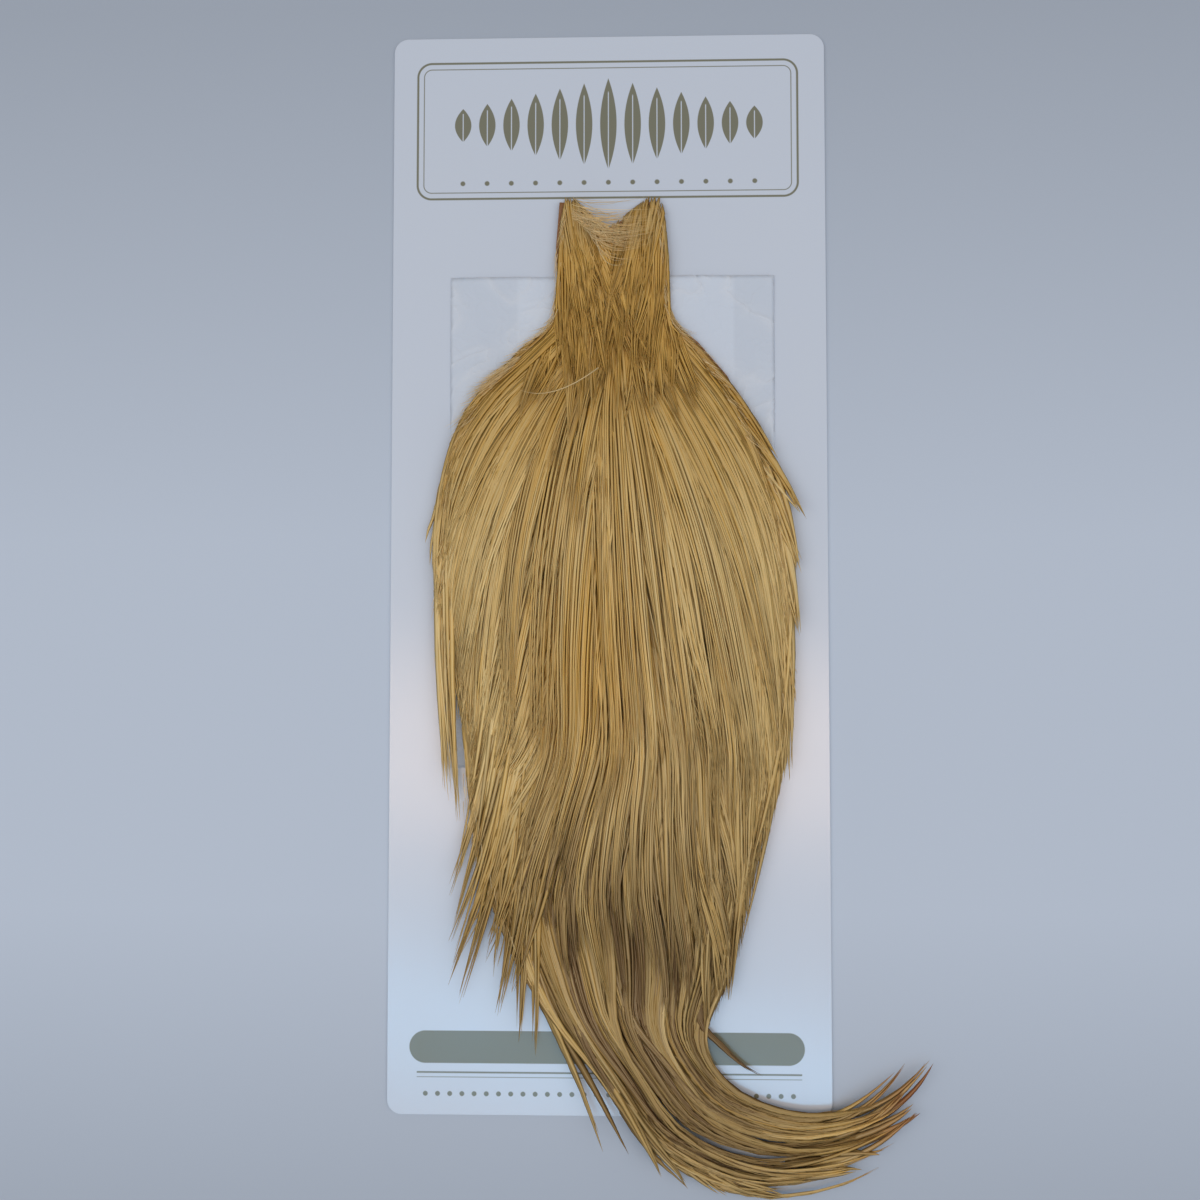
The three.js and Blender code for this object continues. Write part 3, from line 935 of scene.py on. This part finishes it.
def layer_feathers(name, layer):
    """Feathers of one layer. They stand in locks, as oiled hackles do: a lock's feathers lie
    side by side, share a heading, a bend and a height, and draw together towards the tips. A
    feather runs from its root's rib to its tip's rib; on the way its side shifts as
    drift * s ** DRIFT_POWER and its offset in the lock shrinks as 1 - pull * s ** 1.3. A lock
    that drifts over the outline ends there, and near the outline locks hardly meander. Golden
    locks lie over dun ones."""
    rng = np.random.default_rng(layer["seed"])
    locks = max(4, round(layer["locks"] * settings().fullness))
    per_lock = layer["per_lock"]
    first, last = layer["roots"]
    low, high = layer["tips"]
    leftmost, rightmost = layer["sides"]
    root = rng.uniform(first, last, locks)
    side = leftmost + (rightmost - leftmost) * spread_evenly(locks)
    order = (root - first) / (last - first)
    order = order + (rng.uniform(0, 1, locks) - order) * layer["stray"]
    reach = low + (high - low) * order
    reach = reach - layer["left_short"] * np.clip(-side - 0.1, 0, 1) * rng.uniform(0.3, 1, locks)
    drift = rng.normal(0, 0.06, locks) + layer["fan"] * parting_drift(side)
    drift = drift - layer["left_drift"] * np.clip(-side, 0, 1)
    stray = rng.uniform(0, 1, locks) < STRAY_SHARE
    drift = drift + stray * rng.normal(0, STRAY_DRIFT, locks) * layer["fan"]
    room = np.clip(drift, -LAST_SIDE - side, LAST_SIDE - side)
    reach = root + (reach - root) * (room / drift) ** (1 / DRIFT_POWER)
    drift = room
    spread = rng.uniform(*layer["spreads"], locks)
    pull = rng.uniform(*layer["pulls"], locks)
    tone = rng.normal(0, layer["contrast"], locks)
    dun = rng.uniform(0, 1, locks) ** 1.5
    level = 1 - (1 - layer["lowest"]) * rng.uniform(0, 1, locks) ** 1.5
    lock = np.repeat(np.arange(locks), per_lock)
    count = len(lock)
    place = np.tile(np.linspace(-1, 1, per_lock), locks) + rng.normal(0, 0.12, count)
    rib = np.clip(root[lock] + rng.normal(0, 0.12, count), first, last)
    tip = reach[lock] + rng.normal(0, 0.08, count)
    tip = tip - 0.5 * np.abs(place) * rng.uniform(0, 1, count)
    tip = np.minimum(tip, len(layer["ribs"]) - 1.1)
    share = np.linspace(0, 1, layer["segments"] + 1)[None]
    gather = 1 - pull[lock, None] * share ** 1.3
    own_drift = drift[lock] + rng.normal(0, 0.012, count)
    now = side[lock, None] + (spread[lock] * place)[:, None] * gather
    now = now + own_drift[:, None] * share ** DRIFT_POWER
    edge = OUTER_SIDE + rng.normal(0, 0.02, locks)[lock, None]
    edge = edge + rng.normal(0, 0.008, (count, 1)) + layer["overhang"] * share ** 3
    now = np.clip(now, -edge, edge)
    station = rib[:, None] + (tip - rib)[:, None] * share
    places, pile = plumage(layer["ribs"], station, now)
    heading = unit(np.gradient(places, axis=1))
    aside = np.stack([-heading[..., 1], heading[..., 0]], -1)
    bend = wave(rng, locks, share, layer["meander"])[lock] + wave(rng, count, share, 0.1)
    bend = bend * np.clip((LAST_SIDE - np.abs(now)) / CALM_BAND, 0.1, 1)
    places = places + aside * bend[..., None]
    middle, edges = layer["widths"]
    width = middle + (edges - middle) * np.abs(side[lock]) ** 0.8
    width = width * rng.uniform(0.75, 1.2, count) * settings().feather_width
    height = level[lock] - 0.07 * place ** 2 + 0.01 * place + rng.normal(0, 0.006, count)
    tilt = -0.16 * place + rng.normal(0, 0.07, count)
    lowest_stack, highest_stack = layer["stacks"]
    above = lowest_stack + (highest_stack - lowest_stack) * (1 - dun[lock])
    return build_feathers(name, places, pile, width, height, rng, (tone[lock], dun[lock]),
                          tilt, layer["climb"], above)


def loose_feathers(name):
    """Tufts that leave the bundle: each feather follows a quadratic Bezier curve over the pile
    from its root, first along the flow and then out to its tip."""
    rng = np.random.default_rng(LOOSE_SEED)
    tufts = np.array(LOOSE_TUFTS, float)
    table = np.repeat(tufts, tufts[:, 4].astype(int), axis=0)
    count = len(table)
    longest = np.concatenate([[True], np.any(table[1:, 2:4] != table[:-1, 2:4], axis=1)])
    follow = np.where(longest, 0.0, 1.0)
    rib = table[:, 0] + rng.normal(0, 0.3, count)
    side = np.clip(table[:, 1] + rng.normal(0, 0.05, count), -0.99, 0.99)
    root, _ = plumage(RIBS, rib, side)
    beyond, _ = plumage(RIBS, rib + 0.05, side)
    heading = unit(beyond - root)
    tip = table[:, 2:4] + rng.normal(0, 0.6, (count, 2)) * follow[:, None]
    tip = tip + (root - tip) * (rng.uniform(0, 0.1, count) * follow)[:, None]
    distance = np.linalg.norm(tip - root, axis=-1, keepdims=True)
    lead = np.minimum(distance, LOOSE_LEAD)
    bend = root + heading * lead * rng.uniform(0.45, 0.6, (count, 1))
    share = np.linspace(0, 1, 17)
    places = bezier(root, bend, tip, share)
    width = rng.uniform(*LOOSE_WIDTHS, count) * settings().feather_width
    tint = rng.normal(0.02, 0.06, count), 0.3 * rng.uniform(0, 1, count) ** 2
    return build_feathers(name, places, pile_under(places), width, rng.uniform(0.97, 1, count),
                          rng, tint, rng.normal(0, 0.2, count), LOOSE_CLIMB,
                          rng.uniform(*LOOSE_ABOVE, count))


def ear_line(x):
    """Upper edge of the skin between the ear tips: two slopes down to the notch."""
    left, right = NOTCH_SLOPES
    off = x - NOTCH[0]
    return np.minimum(NOTCH[1] + np.where(off < 0, -off * left, off * right), EAR_LEVEL)


def neck_feathers(name):
    """Short, thin and soft hackles that hang over the neck and its two ears, most of them rooted
    high up. Along the sides they hang straight; further in they point inwards, and along the
    middle they are tousled, with brown gaps between them: dun locks, and lower locks darkened by
    painted shade."""
    rng = np.random.default_rng(NECK_SEED)
    locks = round(NECK_LOCKS * settings().fullness)
    across = spread_evenly(locks) * 2 - 1
    middle = 1 - np.abs(across)
    left, right = edges_at(NECK_EDGES, np.full(locks, EAR_LEVEL))
    top = ear_line(left + (right - left) * (across + 1) / 2) + 0.4
    y = top - (top - NECK_END) * rng.uniform(0, 1, locks) ** 1.2
    left, right = edges_at(NECK_EDGES, np.maximum(y, 84))
    x = left + (right - left) * (across + 1) / 2
    foot = rng.uniform(*NECK_TIP_LEVELS, locks)
    length = np.clip(rng.normal(33 - 4 * middle, 6, locks), 12, y - foot)
    inwards = 0.34 * across * (1 - np.abs(across) ** 4) * np.clip((y - 86) / 14, 0, 1)
    outwards = 0.42 * across * np.clip((98 - y) / 16, 0, 1)
    heading = outwards - inwards + rng.normal(0, 1, locks) * (0.03 + 0.15 * middle)
    start = heading + rng.normal(0, 0.1, locks)
    level = 1 - (0.1 + 0.3 * middle) * rng.uniform(0, 1, locks) ** 1.5
    tone = rng.normal(0.02, 0.1, locks)
    dun = 0.75 * middle * rng.uniform(0, 1, locks) ** 3
    lock = np.repeat(np.arange(locks), NECK_PER_LOCK)
    count = len(lock)
    place = np.tile(np.linspace(-1, 1, NECK_PER_LOCK), locks) + rng.normal(0, 0.15, count)
    root = np.stack([x[lock] + place * (1.4 + 1.2 * (1 - middle[lock])),
                     y[lock] + rng.normal(0, 1.4, count)], -1)
    root[:, 1] = np.minimum(root[:, 1], ear_line(root[:, 0]) + 0.4)
    reach = length[lock] * (1 - 0.3 * np.abs(place) * rng.uniform(0, 1, count))
    toward = heading[lock] - 0.04 * place
    way = start[lock]
    bend = root + 0.5 * reach[:, None] * np.stack([np.sin(way), -np.cos(way)], -1)
    tip = root + reach[:, None] * np.stack([np.sin(toward), -np.cos(toward)], -1)
    share = np.linspace(0, 1, 10)
    places = bezier(root, bend, tip, share)
    left, right = edges_at(NECK_EDGES, places[..., 1])
    inset = 0.3 + np.abs(rng.normal(0, 0.25, (count, 1)))
    places[..., 0] = np.clip(places[..., 0], left + inset, right - inset)
    width = rng.uniform(0.75, 1.35, count) * settings().feather_width
    height = level[lock] - 0.06 * place ** 2 + rng.normal(0, 0.01, count)
    tilt = -0.2 * place + rng.normal(0, 0.1, count)
    above = rng.uniform(0.6, 2.2, locks)[lock]
    return build_feathers(name, places, pile_near(places), width, height, rng,
                          (tone[lock], dun[lock]), tilt, 0.2, above)


def edge_barbs(rng, count, ribs, side, out, length):
    """Starts, bends and ends of fine barbs that leave the outline between two ribs, a share
    out of it and the rest along the flow."""
    rib = rng.uniform(*ribs, count)
    near = side * rng.uniform(0.9, 1, count)
    start, height = plumage(RIBS, rib, near)
    beyond, _ = plumage(RIBS, rib + 0.05, near)
    flow = unit(beyond - start)
    aside = np.stack([-flow[:, 1], flow[:, 0]], -1) * side
    reach = rng.uniform(0.4, 1, (count, 1)) * length
    slant = rng.uniform(0.5, 1.2, (count, 1)) * out
    bend = start + (flow + aside * slant) * reach * 0.5
    end = start + unit(flow + aside * slant * rng.uniform(0.4, 1.6, (count, 1))) * reach
    base = resting_level(start[:, 1]) + height * rng.uniform(0.3, 0.95, count)
    levels = [base, base + 0.3, base + rng.normal(0.2, 0.6, count)]
    return [np.column_stack([xy, z]) for xy, z in zip((start, bend, end), levels)]


def ear_barbs(rng, count):
    """Long pale barbs that sweep down from the left ear, across under the notch and up to the
    right ear."""
    x = rng.uniform(-13, -3, count)
    left = np.stack([x, ear_line(x) - rng.uniform(0, 9, count)], -1)
    right = np.stack([rng.uniform(3, 17, count), left[:, 1] - rng.uniform(-2, 9, count)], -1)
    bend = np.stack([rng.normal(0, 3, count), right[:, 1] - rng.uniform(1, 7, count)], -1)
    base = resting_level(left[:, 1]) + pile_near(left) + 0.8
    high = [base, base + 1.4 + rng.uniform(0, 1, count), base + rng.uniform(0, 0.8, count)]
    return [np.column_stack([xy, z]) for xy, z in zip((left, bend, right), high)]


def down_barbs(name):
    """Fine loose barbs: across the notch, along the flanks and shoulders, and one long pale
    one that lies over the left shoulder."""
    rng = np.random.default_rng(DOWN_SEED)
    sets = [ear_barbs(rng, EAR_BARBS)]
    sets += [edge_barbs(rng, *row) for row in EDGE_BARBS]
    sets += [[np.array([point]) for point in LONG_BARB]]
    start, bend, end = [np.concatenate([group[i] for group in sets]) for i in range(3)]
    count = len(start)
    share = np.linspace(0, 1, 9)
    centres = bezier(start, bend, end, share)
    widest = rng.uniform(0.06, 0.13, (count, 1))
    widest[-1] = LONG_BARB_HALF
    half = widest * np.maximum(1 - share ** 2, 0.15)[None]
    roll = rng.uniform(-1.5, 1.5, (count, 1)) + 0 * half
    tint = np.zeros((count, len(share), 4))
    tint[..., 0] = rng.uniform(0.3, 0.9, (count, 1))
    tint[..., 1] = rng.uniform(0, 0.5, (count, 1))
    return blade_piece(name, centres, half, half * 1.2, roll, 0.3, down_material(), tint,
                       vane_values(centres, rng))


def closed_sheet(x, y, top, thickness):
    """Points and faces of a thin closed sheet over a grid: the top surface, the same surface a
    thickness lower, and a row of faces that joins their edges."""
    rows, columns = x.shape
    upper = np.stack([x, y, top], -1)
    lower = upper - np.array([0, 0, thickness])
    points = np.concatenate([upper.reshape(-1, 3), lower.reshape(-1, 3)])
    index = np.arange(rows * columns).reshape(rows, columns)
    quad = np.stack([index[:-1, :-1], index[:-1, 1:], index[1:, 1:], index[1:, :-1]], -1)
    quad = quad.reshape(-1, 4)
    base = rows * columns
    rim = np.concatenate([index[0, :], index[1:, -1], index[-1, -2::-1], index[-2:0:-1, 0]])
    ahead = np.roll(rim, -1)
    side = np.stack([ahead, rim, rim + base, ahead + base], -1)
    return points, [np.concatenate([quad, quad[:, ::-1] + base, side])]


def skin_sheet(name):
    """The dried skin: a thin sheet between its two edges, notched between the ears, lying
    flat in the middle and curling up along its free edges."""
    u, v = np.meshgrid(np.linspace(0, 1, 61), np.linspace(1, 0, 101))
    across = 2 * u - 1
    ear_left, ear_right = SKIN_EDGES[0, 1:]
    top = ear_line(ear_left + (ear_right - ear_left) * u)
    foot = SKIN_FOOT + 24 * np.abs(across) ** 1.5
    y = top + (foot - top) * v
    y = y - 1.6 * np.clip((y - 112) / 16, 0, 1)
    left, right = edges_at(SKIN_EDGES, y)
    x = left + (right - left) * u
    ripple = 0.25 * np.sin(x / 5 + 2 * np.sin(y / 23)) * np.sin(y / 7)
    curl = 0.5 * np.clip((np.abs(across) - 0.86) / 0.14, 0, 1) ** 2
    curl = curl * np.clip((y - 40) / 20, 0, 1)
    z = CAPE_LEVEL + SKIN_THICKNESS + 0.25 + ripple + curl
    points, faces = closed_sheet(x, y, z, SKIN_THICKNESS)
    return finish_piece(name, points, faces, skin_material(), "cape")


def paper_sheet(name):
    """The thin sheet, creased where it was folded, rippled and lifting at its free edges."""
    u, v = np.meshgrid(np.linspace(0, 1, 90), np.linspace(0, 1, 120))
    x = SHEET_LOW[0] + (SHEET_HIGH[0] - SHEET_LOW[0]) * u
    y = SHEET_LOW[1] + (SHEET_HIGH[1] - SHEET_LOW[1]) * v
    crease = sum(np.exp(-((x - fold) / 0.8) ** 2) for fold in SHEET_FOLDS)
    ripple = np.sin(x / 9 + np.sin(y / 17)) * np.sin(y / 13 + 1.3 * np.sin(x / 21))
    free = np.clip((y - 70) / 32, 0, 1)
    lift = free ** 2 * (0.9 * np.exp(-((x - 30) / 12) ** 2) + 0.5 * np.exp(-((x - 52) / 8) ** 2)
                        + 0.6 * np.exp(-((x + 36) / 14) ** 2))
    thickness = 0.12
    top = SHEET_HIGH[2] - thickness + 0.15 * crease + 0.1 * ripple * (0.4 + free) + lift
    points, faces = closed_sheet(x, y, top, thickness)
    return finish_piece(name, points, faces, paper_material(), "backing_sheet")


def dress_node(name, material):
    """Gives a CAD node its finished material."""
    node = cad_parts[name]
    node.data.materials.clear()
    node.data.materials.append(material)


# Stage

CAMERA_PLACE = (0.0129, -0.038, 0.5045)
CAMERA_AIM = (-0.003, -0.0118, 0)
CAMERA_ANGLE = 45
FLOOR_HALF = 2.0

# Softboxes: place, aim and sides in metres, share of the lamp power, colour, and degrees of
# turn about the line of aim. The card's coat mirrors the last two, a narrow warm one overhead
# and a bluish one past its foot
SOFT_WHITE = (0.98, 0.94, 0.91)
LAMPS = {
    "key": ((-0.75, -0.05, 1.1), (0, -0.02, 0), (0.7, 0.9), 0.7, SOFT_WHITE, 0),
    "fill": ((0.8, -0.05, 1.1), (0, -0.02, 0), (0.7, 0.9), 0.56, SOFT_WHITE, 0),
    "overhead": ((0.04, -0.12, 1.2), (0.04, -0.12, 0), (0.8, 0.2), 0.4, (1.0, 0.7, 0.49), 0),
    "foot": ((0.0, -0.53, 1.4), (0, -0.1, 0), (1.5, 0.15), 0.62, (0.22, 0.62, 1.0), -8),
}
SURROUND_COLOUR = (0.88, 0.92, 1.01, 1)
SURROUND_STRENGTH = 0.38


def add_floor():
    """A wide plain surface just under the card."""
    mesh = bpy.data.meshes.new("floor")
    corners = [(-FLOOR_HALF, -FLOOR_HALF, 0), (FLOOR_HALF, -FLOOR_HALF, 0),
               (FLOOR_HALF, FLOOR_HALF, 0), (-FLOOR_HALF, FLOOR_HALF, 0)]
    mesh.from_pydata(corners, [], [(0, 1, 2, 3)])
    mesh.materials.append(floor_material())
    floor = bpy.data.objects.new("floor", mesh)
    bpy.context.scene.collection.objects.link(floor)


def add_lamp(name, place, aim, size, share, colour, turn):
    """A rectangular softbox at a place, aimed at a point and turned about that line by some
    degrees."""
    data = bpy.data.lights.new(name, "AREA")
    data.shape = "RECTANGLE"
    data.size, data.size_y = size
    data.energy = settings().lamp_power * share
    data.color = colour
    lamp = bpy.data.objects.new(name, data)
    lamp.location = place
    lamp.rotation_euler = (Vector(aim) - Vector(place)).to_track_quat("-Z", "Y").to_euler()
    lamp.rotation_euler.rotate_axis("Z", math.radians(turn))
    bpy.context.scene.collection.objects.link(lamp)


def add_lights():
    """The softboxes, and a pale surround."""
    for name, lamp in LAMPS.items():
        add_lamp(name, *lamp)
    world = bpy.data.worlds.new("surround")
    world.use_nodes = True
    background = world.node_tree.nodes["Background"]
    background.inputs["Color"].default_value = SURROUND_COLOUR
    background.inputs["Strength"].default_value = SURROUND_STRENGTH
    bpy.context.scene.world = world


def add_camera():
    """The photograph's view: nearly straight down from half a metre, +Y up the picture."""
    data = bpy.data.cameras.new("camera")
    data.sensor_fit = "HORIZONTAL"
    data.angle = math.radians(CAMERA_ANGLE)
    data.clip_start = 0.01
    camera = bpy.data.objects.new("camera", data)
    back = (Vector(CAMERA_PLACE) - Vector(CAMERA_AIM)).normalized()
    right = Vector((0, 1, 0)).cross(back).normalized()
    turn = Matrix((right, back.cross(right), back)).transposed()
    camera.matrix_world = Matrix.Translation(CAMERA_PLACE) @ turn.to_4x4()
    bpy.context.scene.collection.objects.link(camera)
    bpy.context.scene.camera = camera


# Operators


class CAPE_OT_stage(bpy.types.Operator):
    """Adds the floor, the soft studio light and the camera"""

    bl_idname = "cape.stage"
    bl_label = "Stage"

    def execute(self, context):
        add_floor()
        add_lights()
        add_camera()
        context.scene.view_settings.view_transform = "Standard"
        return {"FINISHED"}


class CAPE_OT_card(bpy.types.Operator):
    """Finishes the card: white coat and generic ornament"""

    bl_idname = "cape.card"
    bl_label = "Card"

    def execute(self, context):
        dress_node("card", card_material())
        return {"FINISHED"}


class CAPE_OT_backing_sheet(bpy.types.Operator):
    """Adds the thin paper sheet under the skin"""

    bl_idname = "cape.backing_sheet"
    bl_label = "Backing Sheet"

    def execute(self, context):
        paper_sheet("paper_sheet")
        return {"FINISHED"}


class CAPE_OT_staples(bpy.types.Operator):
    """Finishes the two staples"""

    bl_idname = "cape.staples"
    bl_label = "Staples"

    def execute(self, context):
        material = steel_material()
        for name in ("staple_neck", "staple_lower"):
            dress_node(name, material)
        return {"FINISHED"}


class CAPE_OT_skin(bpy.types.Operator):
    """Adds the dried skin with its two ears"""

    bl_idname = "cape.skin"
    bl_label = "Skin"

    def execute(self, context):
        skin_sheet("dried_skin")
        return {"FINISHED"}


class CAPE_OT_feathers(bpy.types.Operator):
    """Adds the layers of feathers, from the tail up to the neck"""

    bl_idname = "cape.feathers"
    bl_label = "Feathers"

    def execute(self, context):
        for name, layer in LAYERS.items():
            layer_feathers(name, layer)
        neck_feathers("neck_feathers")
        return {"FINISHED"}


class CAPE_OT_loose_feathers(bpy.types.Operator):
    """Adds the tufts whose tips stand clear of the bundle"""

    bl_idname = "cape.loose_feathers"
    bl_label = "Loose Feathers"

    def execute(self, context):
        loose_feathers("loose_feathers")
        return {"FINISHED"}


class CAPE_OT_down(bpy.types.Operator):
    """Adds the fine loose barbs"""

    bl_idname = "cape.down"
    bl_label = "Down"

    def execute(self, context):
        down_barbs("loose_barbs")
        return {"FINISHED"}


OPERATORS = (
    CAPE_OT_stage,
    CAPE_OT_card,
    CAPE_OT_backing_sheet,
    CAPE_OT_staples,
    CAPE_OT_skin,
    CAPE_OT_feathers,
    CAPE_OT_loose_feathers,
    CAPE_OT_down,
)


class CAPE_PT_panel(bpy.types.Panel):
    """Lists the settings and the pieces of the cape"""

    bl_label = "Rooster Cape"
    bl_idname = "CAPE_PT_panel"
    bl_space_type = "VIEW_3D"
    bl_region_type = "UI"
    bl_category = "Cape"

    def draw(self, context):
        for name in CapeSettings.__annotations__:
            self.layout.prop(context.scene.cape_settings, name)
        for operator in OPERATORS:
            self.layout.operator(operator.bl_idname)


def register():
    """Registers the settings, the operators and the panel."""
    bpy.utils.register_class(CapeSettings)
    bpy.types.Scene.cape_settings = bpy.props.PointerProperty(type=CapeSettings)
    for operator in OPERATORS:
        bpy.utils.register_class(operator)
    bpy.utils.register_class(CAPE_PT_panel)


def unregister():
    """Takes them away again."""
    bpy.utils.unregister_class(CAPE_PT_panel)
    for operator in reversed(OPERATORS):
        bpy.utils.unregister_class(operator)
    del bpy.types.Scene.cape_settings
    bpy.utils.unregister_class(CapeSettings)


def main():
    """Builds the object in order."""
    register()
    bpy.ops.cape.stage()
    bpy.ops.cape.card()
    bpy.ops.cape.backing_sheet()
    bpy.ops.cape.staples()
    bpy.ops.cape.skin()
    bpy.ops.cape.feathers()
    bpy.ops.cape.loose_feathers()
    bpy.ops.cape.down()


if __name__ == "__main__":
    main()
